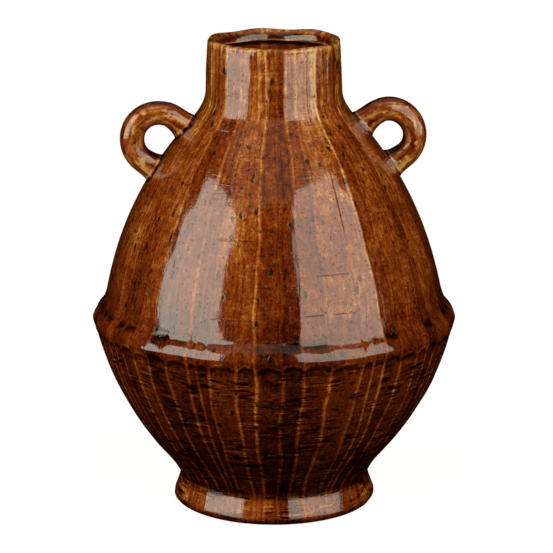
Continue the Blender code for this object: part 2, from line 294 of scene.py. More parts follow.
def rib_relief(place, level, radius):
    """Height of ribs, panels and flutes over the plain turned wall."""
    panel = np.floor(place).astype(int) % RIBS
    part = place - np.floor(place)
    nearest = np.rint(place).astype(int) % RIBS
    off_rib = np.minimum(part, 1 - part) * panel_widths[panel] * radius
    bowl_flutes = fluted(level, panel, part)
    on_neck = ramp(level, NECK_SEAM - 0.012, NECK_SEAM + 0.004)
    patchy = 0.65 + 0.35 * np.sin(level * 150 + wander_start[nearest]) * np.cos(level * 61 + nearest)
    on_foot = 1 - ramp(level, WAIST[1] - 0.004, WAIST[1] + 0.004)
    height = RIB_HEIGHT + NECK_RIB_EXTRA * on_neck + BOWL_RIB_EXTRA * bowl_flutes
    height = height * (1 - 0.8 * on_foot)
    on_bowl = 1 - ramp(level, COIL_FOOT - 0.004, COIL_FOOT)
    minor = np.where(nearest % 2 == 1, 0.25 + 0.75 * on_bowl, 1.0)
    rib = height * rib_strength[nearest] * patchy * minor * bell(off_rib, 0, RIB_HALF_WIDTH)

    wide = panel // 2
    wide_width = panel_widths[2 * wide] + panel_widths[2 * wide + 1]
    wide_part = np.where(panel % 2 == 0, part * panel_widths[panel] / wide_width,
                         1 - (1 - part) * panel_widths[panel] / wide_width)
    flatness = 0.20 + 0.35 * on_neck
    facet = flatness * radius * (1 - np.cos(wide_width / 2)) * 4 * wide_part * (1 - wide_part)
    facet *= ramp(level, COIL_TOP, COIL_TOP + 0.02)
    flute = FLUTE_DEPTH * bowl_flutes * (4 * part * (1 - part)) * rib_strength[(panel * 7 + 3) % RIBS]
    flute *= ramp(level, WAIST[1], WAIST[1] + 0.012)
    hollow_share = rib_strength[(panel * 5 + 1) % RIBS]
    pool = POOL_DEPTH * bell(level, POOL_LEVEL, 0.0024) * (4 * part * (1 - part)) ** 1.5 * hollow_share
    flat = ramp(wide_part, 0, 0.12) * ramp(1 - wide_part, 0, 0.12)
    return rib - facet - flute - pool + flat * panel_steps(wide, level)


# %% Swell and lift of the whole wall
WALL_SWELL, WALL_TREMBLE = 0.00022, 0.00005
COIL_BULGE, COIL_GROOVE, COIL_LUMPS = 0.00075, 0.00035, 0.00042
LIP_SWELL, FOOT_TREMBLE = 0.00045, 0.00012
RIM_WAVE, COIL_WAVE = 0.00060, 0.00045


def swell(angle, level):
    """Slow unevenness of the whole wall, which the inside shares."""
    wall = WALL_SWELL * ripple(angle, level, 11, (2, 6), 6)
    wall = wall + WALL_TREMBLE * ripple(angle, level, 17, (9, 30), 26)
    roll = COIL_BULGE * bell(level, BELLY_LEVEL - 0.0012, 0.0050)
    roll = roll - COIL_GROOVE * bell(level, COIL_TOP + 0.002, 0.003)
    lumps = COIL_LUMPS * ripple(angle, level, 12, (13, 44), 4)
    roll = roll + lumps * bell(level, BELLY_LEVEL, 0.0055)
    lip = LIP_SWELL * ripple(angle, level, 13, (2, 7), 3) * ramp(level, RIM - 0.045, RIM)
    foot = FOOT_TREMBLE * ripple(angle, level, 14, (5, 20), 20) * (1 - ramp(level, 0.015, 0.03))
    return (wall + roll + lip + foot) * ramp(level, 0.0, 0.004)


def lift(angle, level):
    """How far the wall rises or falls: the rim is wavy and the belly coil isn't quite level."""
    rim = RIM_WAVE * ripple(angle, 0, 15, (2, 8), 0) * ramp(level, RIM - 0.02, RIM)
    coil = COIL_WAVE * ripple(angle, 0, 16, (3, 16), 0) * bell(level, BELLY_LEVEL, 0.016)
    return rim + coil


# %% [markdown]
# ## Where the handles go
# The glaze runs together in the joint between a handle and the shoulder, and painted shade darkens the
# crease there. So both the handle and the shoulder need to know how far they are from it, and the
# handle's middle line is worked out first: straight out of the wall, round the loop and straight back in.

# %% The handle's middle line
_, HANDLE_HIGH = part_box("handle_right")
THICK = HANDLE_HIGH.y * 2
LOOP_RADIUS = 0.0169
LOOP_CENTRE = Vector((HANDLE_HIGH.x - LOOP_RADIUS - THICK / 2, 0,
                      HANDLE_HIGH.z - LOOP_RADIUS - THICK / 2))
TOP_ANGLE = math.radians(124)
TAIL_ANGLE = math.radians(-50)


def roll_axis(places):
    """Nearest point on the middle line of the right handle's roll, and the run along it."""
    flat = places - np.array(LOOP_CENTRE)
    angle = np.arctan2(flat[:, 2], flat[:, 0])
    held = np.clip(angle, TAIL_ANGLE, TOP_ANGLE)
    middle = np.stack([np.cos(held), np.zeros(len(held)), np.sin(held)], axis=1) * LOOP_RADIUS
    for limit, side in ((TOP_ANGLE, 1), (TAIL_ANGLE, -1)):
        along = np.array((-math.sin(limit), 0, math.cos(limit))) * side
        root = np.array((math.cos(limit), 0, math.sin(limit))) * LOOP_RADIUS
        run = (flat - root) @ along
        beyond = (run > 0) & ((angle - limit) * side > 0)
        middle[beyond] = root + run[beyond, None] * along
    return middle + np.array(LOOP_CENTRE), held


def off_handles(places):
    """Distance from points on the body to the surface of the nearer handle."""
    nearest = np.full(len(places), np.inf)
    for side in (1, -1):
        facing = places * (side, side, 1)
        middle, _ = roll_axis(facing)
        nearest = np.minimum(nearest, np.linalg.norm(facing - middle, axis=1) - THICK / 2)
    return nearest


# %% [markdown]
# ## Turning a piece
# A turned piece is a closed section spun round the axis. Spinning it in hundreds of small steps is slow,
# so it is spun once for each rib and every ring is then divided into the columns of a panel. The
# shaping moves the points of each ring to their rib columns and adds the relief. The UV map is written
# at the same time: U counts ribs round the pot and V is the distance to the nearest rib in
# millimetres, which is what the glaze needs to run thin on the ribs.

# %% Spin a section
MERGE = 0.000005


def runs_round(edge):
    """Whether an edge lies along a ring and not up the section."""
    here, there = (v.co for v in edge.verts)
    return abs(here.z - there.z) < MERGE / 2 and abs(here.xy.length - there.xy.length) < MERGE / 2


def spun(section):
    """Closed mesh made by spinning a closed section of (radius, level) points round +Z."""
    clay = bmesh.new()
    points = [clay.verts.new((r, 0.0, z)) for r, z in section]
    for here, following in zip(points, points[1:] + points[:1]):
        if not (here.co.x < MERGE and following.co.x < MERGE):
            clay.edges.new((here, following))
    bmesh.ops.spin(clay, geom=clay.verts[:] + clay.edges[:], cent=(0, 0, 0), axis=(0, 0, 1),
                   angle=math.tau, steps=RIBS, use_merge=True, use_duplicate=False)
    bmesh.ops.remove_doubles(clay, verts=clay.verts, dist=MERGE)
    rings = [edge for edge in clay.edges if runs_round(edge)]
    bmesh.ops.subdivide_edges(clay, edges=rings, cuts=COLUMNS_PER_PANEL - 1, use_grid_fill=True)
    bmesh.ops.recalc_face_normals(clay, faces=clay.faces)
    return clay


def object_from(clay, name, sharp=50):
    """A smooth shaded object made from a bmesh, in the scene."""
    mesh = bpy.data.meshes.new(name)
    clay.to_mesh(mesh)
    clay.free()
    mesh.shade_smooth()
    mesh.set_sharp_from_angle(angle=math.radians(sharp))
    piece = bpy.data.objects.new(name, mesh)
    bpy.context.scene.collection.objects.link(piece)
    return piece


# %% Shape it and map it
NO_RIB = 9.0                        # millimetres, for faces that carry no ribs
SKIN = 0.0004                       # how close to the outer line a point counts as outside
STILL_RADIUS = 0.020                # nearer the axis than this the floor stays even


def coordinates(mesh):
    """The mesh's points as an array."""
    places = np.zeros(len(mesh.vertices) * 3)
    mesh.vertices.foreach_get("co", places)
    return places.reshape(-1, 3)


def shaped(piece):
    """Give a spun piece its ribs, its unevenness and its UV map."""
    mesh = piece.data
    places = coordinates(mesh)
    turn = np.arctan2(places[:, 1], places[:, 0]) % math.tau
    panel_angle = math.tau / RIBS
    off_middle = turn % panel_angle - panel_angle / 2
    chord_to_ring = np.cos(off_middle) / math.cos(panel_angle / 2)
    radius = np.hypot(places[:, 0], places[:, 1]) * chord_to_ring
    level = places[:, 2].copy()
    column = np.rint(turn / math.tau * COLUMNS).astype(int) % COLUMNS
    place = column / COLUMNS_PER_PANEL
    angle = column_angle(place, level)
    outside = (radius > wall_radius(level) - SKIN) & (level > SKIN)
    ribbed = outside * ramp(RIM - level, 0.0015, 0.007) * ramp(level, 0.0015, 0.006)
    new_radius = radius + swell(angle, level) * (radius > STILL_RADIUS)
    new_radius += ribbed * rib_relief(place, level, radius)
    new_level = level + lift(angle, level)
    moved = np.stack([new_radius * np.cos(angle), new_radius * np.sin(angle), new_level], axis=1)
    mesh.vertices.foreach_set("co", moved.ravel())
    mesh.update()
    map_ribs(mesh, column, radius, outside)
    number_points(mesh, "off_handle", off_handles(moved) * 1000)
    return piece


def number_points(mesh, name, values):
    """Store one number for each point of a mesh, for its material to read."""
    layer = mesh.attributes.new(name, "FLOAT", "POINT")
    layer.data.foreach_set("value", values.astype(np.float32))


def map_ribs(mesh, column, radius, outside):
    """UV map of a turned piece: U counts ribs and V is the distance to the nearest in millimetres."""
    corner_vertex = np.zeros(len(mesh.loops), int)
    mesh.loops.foreach_get("vertex_index", corner_vertex)
    sizes = np.zeros(len(mesh.polygons), int)
    mesh.polygons.foreach_get("loop_total", sizes)
    face = np.repeat(np.arange(len(sizes)), sizes)
    corner_column = column[corner_vertex]
    highest = np.zeros(len(sizes), int)
    np.maximum.at(highest, face, corner_column)
    wraps = highest[face] - corner_column > COLUMNS // 2
    place = (corner_column + COLUMNS * wraps) / COLUMNS_PER_PANEL
    panel = np.floor(place).astype(int)
    part = place - panel
    off_rib = np.minimum(part, 1 - part) * panel_widths[panel % RIBS] * radius[corner_vertex] * 1000
    off_rib = np.where(outside[corner_vertex], off_rib, NO_RIB)
    layer = mesh.uv_layers.new(name="ribs")
    layer.data.foreach_set("uv", np.stack([place, off_rib], axis=1).ravel())


def turned(name, section):
    """A finished turned piece from its closed section."""
    piece = shaped(object_from(spun(section), name))
    print(name, len(piece.data.vertices), "points,", len(piece.data.polygons), "faces")
    return piece


# %% [markdown]
# ## The shoulder, the bowl and the neck
# These three are plain walls: the outer line between two seams, and the same line moved in by the
# wall's thickness. They meet edge to edge, and because the relief depends only on the place round the
# pot and the level, the ribs run on over each seam without a step, as they do under the real glaze.

# %% Walls between two seams
INNER = [(r - WALL, z) for r, z in between(OUTER, RIM - 0.004, 0.022)]
INNER = evened([(max(r, 0.012), z) for r, z in INNER], COARSE_ROW)


def wall_section(top, foot):
    """Closed section of the wall between two levels, outside first and falling."""
    return between(OUTER, top, foot) + between(INNER, top, foot)[::-1]


shoulder = turned("shoulder_skin", wall_section(NECK_SEAM, COIL_TOP))
bowl = turned("bowl_skin", wall_section(COIL_FOOT, FOOT_SEAM))
UNDERCUT = 0.0012                   # how far the neck's wall is hollowed under the lip
neck_inside = [(r + UNDERCUT * float(ramp(z, NECK_SEAM + 0.005, LIP_SEAM - 0.006)), z)
               for r, z in evened(between(INNER, LIP_SEAM, NECK_SEAM), 0.0015)]
neck = turned("neck_skin", between(OUTER, LIP_SEAM, NECK_SEAM) + neck_inside[::-1])

# %% [markdown]
# ## The belly coil
# A coil of soft clay is pressed over the seam between bowl and shoulder and smoothed with the thumb,
# so it is lumpy and its height changes. It fills the groove that both halves share.

# %% The coil
coil = turned("coil_skin", between(OUTER, COIL_TOP, COIL_FOOT)
              + evened(between(INNER, COIL_TOP, COIL_FOOT)[::-1], 0.002))

# %% [markdown]
# ## The lip
# The lip is a thicker coil laid on the neck. Inside the mouth it stands in past the neck's wall, so a
# dark step shows under it, deepened with painted shade. Its edge is rounded with a wet finger and stays
# a little wavy.

# %% The lip coil
LIP_INNER = RIM_RADIUS - 0.0070
LIP_CREST = (RIM_RADIUS - 0.0022, RIM - 0.0001)
lip_top = bowed((RIM_RADIUS - 0.0036, RIM - 0.0008), LIP_CREST, 0.0002, 3)
lip_top += bowed(LIP_CREST, (RIM_RADIUS, RIM - LIP_ROUND), 0.0008, 8)[1:]
lip_outside = between(OUTER, RIM - LIP_ROUND, LIP_SEAM)
lip_inside = bowed((LIP_INNER, LIP_SEAM + 0.0009), lip_top[0], 0.0007, 9)
lip_edge = bowed((LIP_INNER + 0.0009, LIP_SEAM), lip_inside[0], -0.0002, 3)
lip = turned("lip_skin", lip_top + lip_outside[1:] + lip_edge[:-1] + lip_inside[:-1])

# %% [markdown]
# ## The foot
# The foot ring flares to its widest place just over the table and rolls under to a narrow resting
# band. It is hollow underneath, up to the floor slab, and the clay in the hollow is left bare.

# %% Foot ring and floor
FLOOR_EDGE = FLOOR_HIGH.x
hollow_radius = FLOOR_EDGE - 0.0037
hollow = bowed((REST_RADIUS - REST_WIDTH, 0.0), (hollow_radius, 0.0035), -0.0004, 5)
hollow += [(hollow_radius, FLOOR_LOW.z - SLIP), (FLOOR_EDGE + SLIP, FLOOR_LOW.z - SLIP)]
foot = turned("foot_skin", between(OUTER, FOOT_SEAM, 0.0)
              + hollow + [(FLOOR_EDGE + SLIP, FOOT_SEAM)])
slab = turned("floor_skin", [(0.0, FLOOR_HIGH.z), (FLOOR_EDGE / 3, FLOOR_HIGH.z),
                             (FLOOR_EDGE * 2 / 3, FLOOR_HIGH.z), (FLOOR_EDGE - 0.001, FLOOR_HIGH.z),
                             (FLOOR_EDGE, FLOOR_HIGH.z - 0.001), (FLOOR_EDGE, FLOOR_LOW.z),
                             (FLOOR_EDGE / 2, FLOOR_LOW.z), (0.0, FLOOR_LOW.z)])

# %% [markdown]
# ## The handles
# Each handle is a roll of clay bent into a ring, with its ends cut to the shoulder and luted on with
# slip. A circle is spun over the loop, and its two ends are pulled straight on. The upper one stops
# inside the wall. The lower one is longer than the wall is thick, so it shows in the hollow. The roll
# is never quite round, and it spreads a little where it is pressed on.

# %% The loop
ROUND_FACES = 44
LOOP_STEPS = 64
LEAD_LENGTH = 0.0135                # upper end, which stops inside the wall
TAIL_LENGTH = 0.0200                # lower end, which comes out about 6 mm into the hollow
PULL_STEP = 0.0008


def pulled(clay, edges, direction, length, steps):
    """Carry an open ring of edges on along a straight line, in equal steps."""
    for _ in range(steps):
        grown = bmesh.ops.extrude_edge_only(clay, edges=edges)["geom"]
        ring = [g for g in grown if isinstance(g, bmesh.types.BMVert)]
        edges = [g for g in grown if isinstance(g, bmesh.types.BMEdge)]
        edges = [e for e in edges if all(v in ring for v in e.verts)]
        bmesh.ops.translate(clay, verts=ring, vec=direction * (length / steps))
    return edges


def rolled_loop():
    """Tube of the right handle, with its ends carried into and through the wall and closed."""
    clay = bmesh.new()
    out = Vector((math.cos(TOP_ANGLE), 0, math.sin(TOP_ANGLE)))
    bmesh.ops.create_circle(clay, segments=ROUND_FACES, radius=THICK / 2)
    stand = Matrix((out, Vector((0, 1, 0)), out.cross(Vector((0, 1, 0))))).transposed().to_4x4()
    bmesh.ops.transform(clay, verts=clay.verts,
                        matrix=Matrix.Translation(LOOP_CENTRE + out * LOOP_RADIUS) @ stand)
    first_ring = clay.edges[:]
    swept = bmesh.ops.spin(clay, geom=first_ring, cent=LOOP_CENTRE, axis=(0, 1, 0),
                           angle=TOP_ANGLE - TAIL_ANGLE, steps=LOOP_STEPS, use_duplicate=False)
    last_ring = [g for g in swept["geom_last"] if isinstance(g, bmesh.types.BMEdge)]
    lead = Vector((-math.sin(TOP_ANGLE), 0, math.cos(TOP_ANGLE)))
    tail = Vector((math.sin(TAIL_ANGLE), 0, -math.cos(TAIL_ANGLE)))
    for ring, direction, length in ((first_ring, lead, LEAD_LENGTH), (last_ring, tail, TAIL_LENGTH)):
        end = pulled(clay, ring, direction, length, round(length / PULL_STEP))
        bmesh.ops.contextual_create(clay, geom=end)
    bmesh.ops.recalc_face_normals(clay, faces=clay.faces)
    return clay


# %% Uneven roll, spread where it meets the shoulder
SPREAD = 0.0009
SPREAD_REACH = 0.0018
WEB = 0.0042                        # clay pushed into the corners of the finger loop
WEB_REACH = 0.0042
ROLL_LUMPS = 0.00022


def above_shoulder(places):
    """Height of points over the shoulder's face, measured square to it."""
    radius = np.hypot(places[:, 0], places[:, 1])
    level = np.clip(places[:, 2], COIL_TOP, RIM)
    step = 0.002
    slope = (wall_radius(level - step) - wall_radius(level + step)) / (2 * step)
    return (radius - wall_radius(level)) / np.sqrt(1 + slope * slope)


def handle(name, side, seed):
    """Finished handle: the right one as made, or the left one turned half round."""
    piece = object_from(rolled_loop(), name, sharp=60)
    mesh = piece.data
    places = coordinates(mesh)
    middle, along = roll_axis(places)
    outward = places - middle
    outward /= np.maximum(np.linalg.norm(outward, axis=1), 1e-6)[:, None]
    round_it = np.arctan2(places[:, 1], outward @ np.array((1.0, 0, 0.3)))
    lumps = ROLL_LUMPS * ripple(round_it, along * LOOP_RADIUS, seed, (1, 3), 22)
    height = above_shoulder(places)
    spread = SPREAD * np.exp(-np.maximum(height, 0) / SPREAD_REACH)
    to_centre = np.array(LOOP_CENTRE) - middle
    to_centre /= np.maximum(np.linalg.norm(to_centre, axis=1), 1e-6)[:, None]
    inward = np.clip(np.sum(outward * to_centre, axis=1), 0, 1) ** 1.5
    spread += WEB * np.exp(-np.maximum(height, 0) / WEB_REACH) * inward
    places = places + outward * (lumps + spread)[:, None]
    if side < 0:
        places[:, :2] *= -1
    mesh.vertices.foreach_set("co", places.ravel())
    mesh.update()
    number_points(mesh, "over_shoulder", height * 1000)
    across = np.sum(outward * to_centre, axis=1)
    for axis, values in zip("xyz", (along * LOOP_RADIUS, across * THICK / 2, places[:, 1])):
        number_points(mesh, "roll_" + axis, values)
    print(name, len(mesh.vertices), "points")
    return piece


handle_right = handle("right_ring", 1, 21)
handle_left = handle("left_ring", -1, 22)

# %% [markdown]
# ## Writing a material as sums
# Shader nodes are easier to read as arithmetic. This small class wraps one output socket, and its
# operators add the Math nodes. Any other node comes from one method.

# %% A socket with operators
class Flow:
    """A number, vector or colour on its way through a node tree."""

    def __init__(self, tree, socket):
        self.tree = tree
        self.socket = socket

    def node(self, kind, settings=(), inputs=(), output=0):
        """Add a node, set it up, feed its sockets and give one of its outputs."""
        made = self.tree.nodes.new(kind)
        for name, value in dict(settings).items():
            if name == "stops":
                set_stops(made.color_ramp, value)
            else:
                setattr(made, name, value)
        for key, value in dict(inputs).items():
            if isinstance(value, Flow):
                self.tree.links.new(value.socket, made.inputs[key])
            else:
                made.inputs[key].default_value = value
        return Flow(self.tree, made.outputs[output])

    def math(self, operation, *values):
        """A Math node."""
        return self.node("ShaderNodeMath", {"operation": operation}, dict(enumerate(values)))

    def __add__(self, other):
        if self.socket.type == "VECTOR":
            return self.node("ShaderNodeVectorMath", {"operation": "ADD"}, {0: self, 1: other})
        return self.math("ADD", self, other)

    def __sub__(self, other):
        return self.math("SUBTRACT", self, other)

    def __rsub__(self, other):
        return self.math("SUBTRACT", other, self)

    def __mul__(self, other):
        return self.math("MULTIPLY", self, other)

    def __truediv__(self, other):
        return self.math("DIVIDE", self, other)

    __radd__ = __add__
    __rmul__ = __mul__

    def step(self, start, end):
        """Smooth step from 0 at start to 1 at end."""
        return self.node("ShaderNodeMapRange", {"interpolation_type": "SMOOTHSTEP"},
                         {0: self, 1: start, 2: end, 3: 0.0, 4: 1.0})

    def hump(self, middle, width):
        """Smooth hump of height 1 round the middle, falling to 0 at the width."""
        return 1 - self.math("ABSOLUTE", self - middle).step(0.0, width)

    def mixed(self, other, amount):
        """This colour with another laid over it."""
        return self.node("ShaderNodeMix", {"data_type": "RGBA"}, {0: amount, 6: self, 7: other}, 2)


def set_stops(colour_ramp, stops):
    """Give a colour ramp its stops."""
    elements = colour_ramp.elements
    while len(elements) < len(stops):
        elements.new(1.0)
    for element, (position, colour) in zip(elements, stops):
        element.position = position
        element.color = colour if len(colour) == 4 else (*colour, 1.0)


# %% [markdown]
# ## The glaze
# An amber iron glaze is a coloured glass. Where it lies thin, on ribs and edges, the pale clay shows
# through and it looks golden. Where it is thicker it turns amber, then red-brown, and where it pools
# it is almost black. So the material works out one number, the thickness, and a ramp turns that into
# colour. Combing, panels, ledges, specks and pinholes all change the thickness or the surface.
# Some of the thickness is painted shade and painted dark reflection: beside the ribs, under the ledges
# and the flutes' arches, in the hollows over the belly coil, at the foot's lowest rounding, inside the
# mouth and round the handles' roots.

# %% Colours by thickness
GLAZE_STOPS = (
    (0.00, (0.720, 0.400, 0.130)),
    (0.14, (0.520, 0.190, 0.033)),
    (0.32, (0.310, 0.066, 0.008)),
    (0.50, (0.180, 0.028, 0.003)),
    (0.68, (0.080, 0.010, 0.0015)),
    (0.85, (0.026, 0.0040, 0.0010)),
    (1.00, (0.007, 0.0022, 0.0010)),
)
SPECK = (0.008, 0.008, 0.004, 1.0)
BARE_CLAY = (0.300, 0.170, 0.085, 1.0)
GLOSS = 0.07
DEPTH_BY_LEVEL = (
    (0.000, 0.50), (0.018, 0.39), (0.050, 0.43), (0.066, 0.84), (0.095, 0.84), (0.200, 0.69),
    (0.350, 0.62), (0.390, 0.66), (0.415, 0.56), (0.440, 0.61), (0.500, 0.465), (0.700, 0.405),
    (0.860, 0.385), (0.965, 0.36), (0.985, 0.30), (0.996, 0.12),
)


def start_material(name):
    """A new material's tree, its shader, and the object coordinates as a Flow."""
    material = bpy.data.materials.new(name)
    material.use_nodes = True
    tree = material.node_tree
    shader = tree.nodes["Principled BSDF"]
    coordinates_node = tree.nodes.new("ShaderNodeTexCoord")
    return material, tree, shader, Flow(tree, coordinates_node.outputs["Object"])


def number(tree, name):
    """The number stored on the points under a name, as a Flow."""
    attribute = tree.nodes.new("ShaderNodeAttribute")
    attribute.attribute_name = name
    return Flow(tree, attribute.outputs["Fac"])


def stretched_noise(place, sizes, detail=2.0, shift=0.0):
    """Noise whose grains have the given sizes in millimetres along X, Y and Z."""
    scale = [1000.0 / size for size in sizes]
    turned_place = place.node("ShaderNodeMapping", {}, {0: place, 1: (shift, shift, shift), 3: scale})
    return place.node("ShaderNodeTexNoise", {}, {"Vector": turned_place, "Scale": 1.0,
                                                 "Detail": detail, "Roughness": 0.6})


def spots(place, sizes, keep, radius):
    """Round spots in cells of the given sizes, of which only a share is kept."""
    scale = [1000.0 / size for size in sizes]
    cells = place.node("ShaderNodeMapping", {}, {0: place, 3: scale})
    near = place.node("ShaderNodeTexVoronoi", {}, {"Vector": cells, "Scale": 1.0})
    pick = near.tree.nodes[-1].outputs["Color"]
    chosen = Flow(near.tree, pick)
    chosen = chosen.node("ShaderNodeSeparateColor", {}, {0: chosen})
    return (1 - near.step(radius * 0.6, radius)) * chosen.math("LESS_THAN", chosen, keep)


# %% Finish of every fired surface
COAT_WEIGHT = 0.6
COAT_ROUGHNESS = 0.03


def surface(tree, shader, colour, height, strength, distance):
    """Give a shader its colour and its bump."""
    bump = height.node("ShaderNodeBump", {}, {"Height": height, "Strength": strength,
                                              "Distance": distance})
    tree.links.new(colour.socket, shader.inputs["Base Color"])
    tree.links.new(bump.socket, shader.inputs["Normal"])


def glassy(shader):
    """Give a shader the clear coat of a glossy glaze."""
    shader.inputs["Coat Weight"].default_value = COAT_WEIGHT
    shader.inputs["Coat Roughness"].default_value = COAT_ROUGHNESS


# %% [markdown]
# ## Where a point of the glaze lies
# The glaze changes with the level, the panel and the distance to a rib. The last two come from the UV
# map that was written with the ribs, so the gold follows each rib as it wanders. Each panel and each
# rib also gets a chance number of its own, so no two of them look alike.

# %% Level, panel and rib
def white(place, shift):
    """A number between 0 and 1 that belongs to a whole number and differs from its neighbours'."""
    return place.node("ShaderNodeTexWhiteNoise", {"noise_dimensions": "1D"}, {"W": place + shift})


class PotPlace:
    """Where a point of a turned piece lies: its level, its zone, its panel and its rib."""

    def __init__(self, tree, place):
        self.level = place.node("ShaderNodeSeparateXYZ", {}, {0: place}, 2)
        map_node = tree.nodes.new("ShaderNodeUVMap")
        map_node.uv_map = "ribs"
        split = tree.nodes.new("ShaderNodeSeparateXYZ")
        tree.links.new(map_node.outputs[0], split.inputs[0])
        round_place, self.off_rib = Flow(tree, split.outputs[0]), Flow(tree, split.outputs[1])
        panel = round_place.math("FLOOR", round_place)
        part = round_place.math("FRACT", round_place)
        rib = round_place.math("ROUND", round_place)
        minor = rib.math("PINGPONG", rib, 1.0)
        self.wide = panel.math("FLOOR", panel * 0.5)
        self.below = 1 - self.level.step(COIL_FOOT - 0.006, COIL_FOOT)
        self.on_neck = self.level.step(NECK_SEAM - 0.010, NECK_SEAM + 0.008)
        self.on_foot = 1 - self.level.step(WAIST[1] - 0.003, WAIST[1] + 0.004)
        self.rib_weight = 1 - minor * (0.75 - 0.55 * self.below - 0.40 * self.on_neck)
        self.off_flute = (2 * part - 1) * (2 * part - 1)
        self.panel_chance = white(self.wide, 3.5)
        self.narrow_chance = white(panel, 83.5)
        self.rib_chance = white(rib, 40.5)


# %% Noises in the glaze
class Noises:
    """The noises that the turned pieces share, with the sizes of their grains in millimetres."""

    def __init__(self, place):
        self.blotches = stretched_noise(place, (18, 18, 34), 3.0)
        self.streaks = stretched_noise(place, (2.4, 2.4, 15), 3.0)
        self.combing = stretched_noise(place, (13, 13, 1.0), 2.0)
        self.strong_combing = stretched_noise(place, (17, 17, 2.4), 1.0, 3.0)
        self.grain = stretched_noise(place, (1.2, 1.2, 1.7), 3.0)
        self.scratches = stretched_noise(place, (0.8, 0.8, 6), 1.0, 29.0)
        self.broken = stretched_noise(place, (3.5, 3.5, 7), 3.0, 7.0)
        self.patches = stretched_noise(place, (9, 9, 13), 2.0, 17.0)
        self.mottle = stretched_noise(place, (4.0, 4.0, 7.5), 3.0, 23.0)
        self.comb_patches = stretched_noise(place, (12, 12, 16), 2.0, 5.0)


# %% [markdown]
# ## What the tools leave in the glaze
# The glaze runs thin and golden on the ribs, breaks at the short ledges in the panels, gathers in the
# lines of the comb, and pools under the flutes' arches and over the belly coil. Painted shade is laid on
# the lower side of the ledges and under the arches, and a painted dark reflection in the hollows over the
# coil. Each of these is a share between 0 and 1 that the thickness then uses.

# %% Gold on the ribs
RIB_LINE = 1.70                     # millimetres from a rib's middle to where its gold ends


def gold_on_ribs(at, noise):
    """Shares of the narrow and of the wide gold along the ribs."""
    line = 1 - (at.off_rib + (noise.broken - 0.5) * 3.4).step(0.0, RIB_LINE + 0.7 * at.below)
    wide_line = 1 - (at.off_rib + (noise.patches - 0.5) * 4.0).step(0.2, 3.6)
    narrow = line * (0.10 + 0.90 * at.rib_chance) * noise.mottle.step(0.40, 0.60) * at.rib_weight
    narrow = narrow * (1 - 0.9 * at.on_foot) * (0.55 + 0.8 * noise.grain.step(0.42, 0.58))
    wide = wide_line * at.rib_chance.step(0.20, 0.70) * noise.patches.step(0.40, 0.58)
    return narrow, wide * at.rib_weight * (1 - 0.9 * at.on_foot)


# %% Ledges in the panels
LEDGE_SPACING = 0.023               # metres between the places where a panel may have a ledge
LEDGE_SHARE = 0.24                  # share of those places that have one


def ledges(at, noise):
    """The golden edge of the short level ledges, their darker side (glaze gathered under the step, with
    painted shade), and where there are any.
    """
    run = at.level / LEDGE_SPACING + at.panel_chance * 31.0 + (noise.broken - 0.5) * 0.05
    offset = (run - run.math("ROUND", run)) * (LEDGE_SPACING * 1000)
    pick = white(run.math("ROUND", run) + at.wide * 17.0, 9.5)
    share = pick.math("LESS_THAN", pick, LEDGE_SHARE) * noise.patches.step(0.40, 0.62)
    return offset.hump(0.5, 0.55), offset.hump(-0.45, 0.75), share


# %% Combing
def combed(at, noise):
    """Where the comb has gone over the clay, and its deep lines on the bowl."""
    share = noise.comb_patches.step(0.38, 0.64)
    share = share * (0.35 + 0.95 * at.below)
    return share, noise.strong_combing.step(0.55, 0.66) * at.below * share


# %% Flutes and pools
def flute_marks(at, noise):
    """Dark under each flute's arch, where glaze gathers and painted shade is laid, bright along its edge,
    and the pools over the belly coil, where glaze gathers and a painted dark reflection is laid.
    """
    top = FLUTE_TOP - FLUTE_ARCH * at.off_flute + (at.narrow_chance - 0.5) * 0.0026
    over = at.level - top + (noise.broken - 0.5) * 0.0034
    arch_pool_and_shade = over.hump(-0.0020, 0.0026) * (1 - at.off_flute).step(0.05, 0.5)
    arch_edge = over.hump(0.0006, 0.0012) * noise.patches.step(0.42, 0.56)
    pool_height = at.level + (noise.broken - 0.5) * 0.0022
    pool_share = at.narrow_chance.step(0.20, 0.60) * (1 - at.off_flute).step(0.15, 0.80)
    return arch_pool_and_shade, arch_edge, pool_height.hump(POOL_LEVEL, 0.0028) * pool_share


# %% [markdown]
# ## The thickness
# The thickness starts from the level, because glaze runs down while it melts. The panels and the
# noises vary it, and the marks of the tools are added last, along with painted shade beside the ribs
# and a painted dark reflection at the foot's lowest rounding.

# %% Thickness of the plain glaze
LEVEL_SPAN = RIM                    # the level that the ramp of depths counts as 1


def plain_thickness(at, noise, comb_share, comb_lines):
    """Thickness from the level, the panels, the noises and the combing."""
    depth = at.level.node("ShaderNodeValToRGB", {"stops": [(z, (d, d, d)) for z, d in DEPTH_BY_LEVEL]},
                          {0: at.level / LEVEL_SPAN})
    thickness = depth + (at.panel_chance - 0.5) * (0.16 - 0.06 * at.below)
    thickness = thickness + (at.narrow_chance - 0.5) * 0.13
    thickness = thickness + (noise.blotches - 0.5) * (0.50 - 0.28 * at.below)
    thickness = thickness + (noise.streaks - 0.5) * 0.22 + (noise.grain - 0.5) * 0.46
    mottling = 0.66 - 0.36 * at.on_foot - 0.26 * at.below
    thickness = thickness + (noise.mottle - 0.5) * mottling
    thickness = thickness + (noise.combing - 0.5) * (0.05 + 0.42 * comb_share)
    thickness = thickness + (noise.strong_combing - 0.5) * (0.04 + 0.42 * comb_share) + comb_lines * 0.26
    comb_edges = noise.combing.step(0.44, 0.56) - 0.30
    thickness = thickness + comb_edges * comb_share * (0.08 + 0.12 * at.below)
    thickness = thickness + (noise.grain.step(0.36, 0.64) - 0.5) * 0.05
    return thickness + noise.scratches.step(0.60, 0.70) * 0.15 * (1 - at.on_foot)


